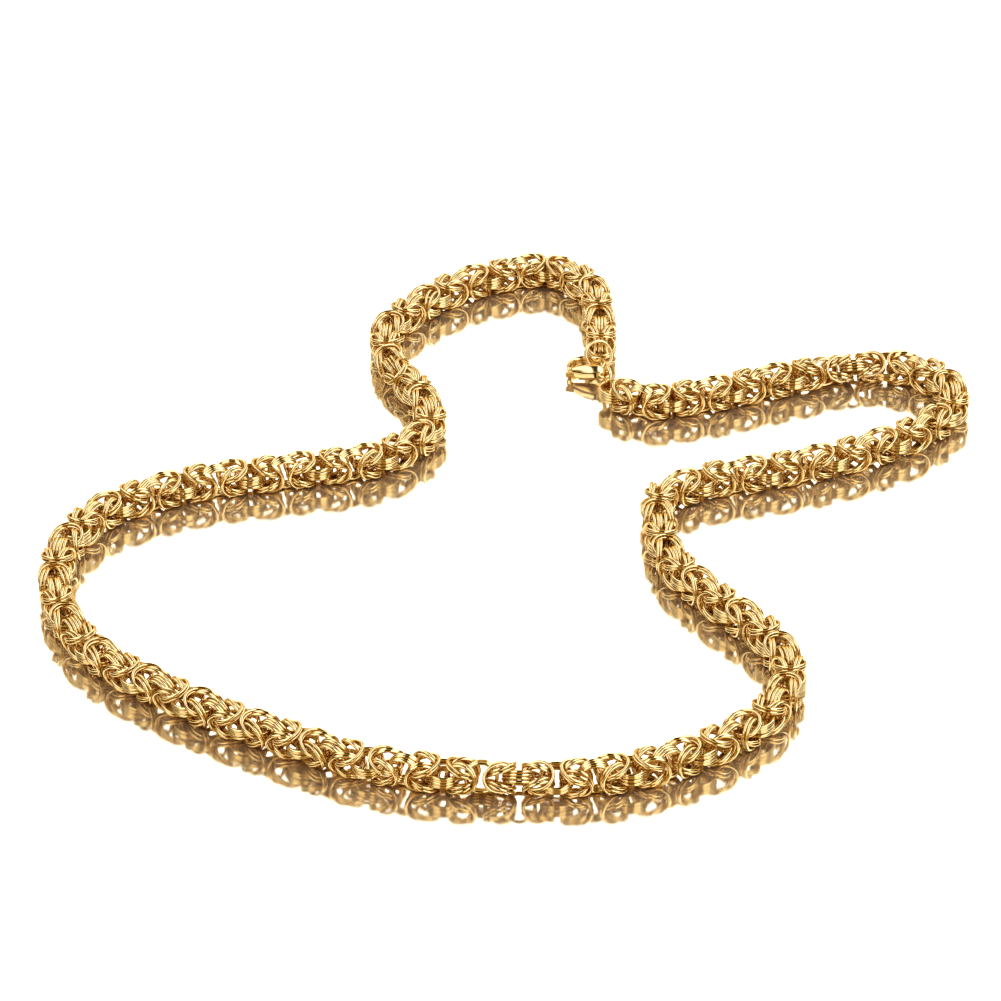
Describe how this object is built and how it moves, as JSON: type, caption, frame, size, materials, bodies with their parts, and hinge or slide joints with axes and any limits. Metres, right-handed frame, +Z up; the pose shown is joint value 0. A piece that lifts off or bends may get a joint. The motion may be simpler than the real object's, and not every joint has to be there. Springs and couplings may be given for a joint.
{
  "type": "byzantine chain",
  "caption": "Gold necklace in a dense round byzantine weave, closed by a lobster clasp with a sprung lever, lying in loose bends on a surface.",
  "frame": {"origin": "on the surface the necklace lies on, under the middle of its bounding box", "axes": "+Z up from the surface, +Y from the chain's front edge towards its far top bend, +X to the viewer's right"},
  "size_m": [0.1763, 0.1882, 0.0063],
  "materials": {
    "gold": "polished gold plating"
  },
  "bodies": {
    "necklace": {"chain_a": "gold", "chain_b": "gold", "start_link_1": "gold", "start_link_2": "gold", "start_link_3": "gold", "start_link_4": "gold", "hook_link_1": "gold", "hook_link_2": "gold", "jump_ring": "gold", "clasp_body": "gold", "lever_pin": "gold"},
    "lever": {"clasp_lever": "gold"}
  },
  "joints": [
    {"name": "lever_hinge", "type": "hinge", "parent": "necklace", "child": "lever", "pos_m": [0.0148, 0.05069, 0.00227], "axis": [-0.1299, 0.0499, 0.9903], "range_deg": [-20, 0], "stiffness_Nm_per_rad": 0.004, "springref_deg": 8.59}
  ]
}
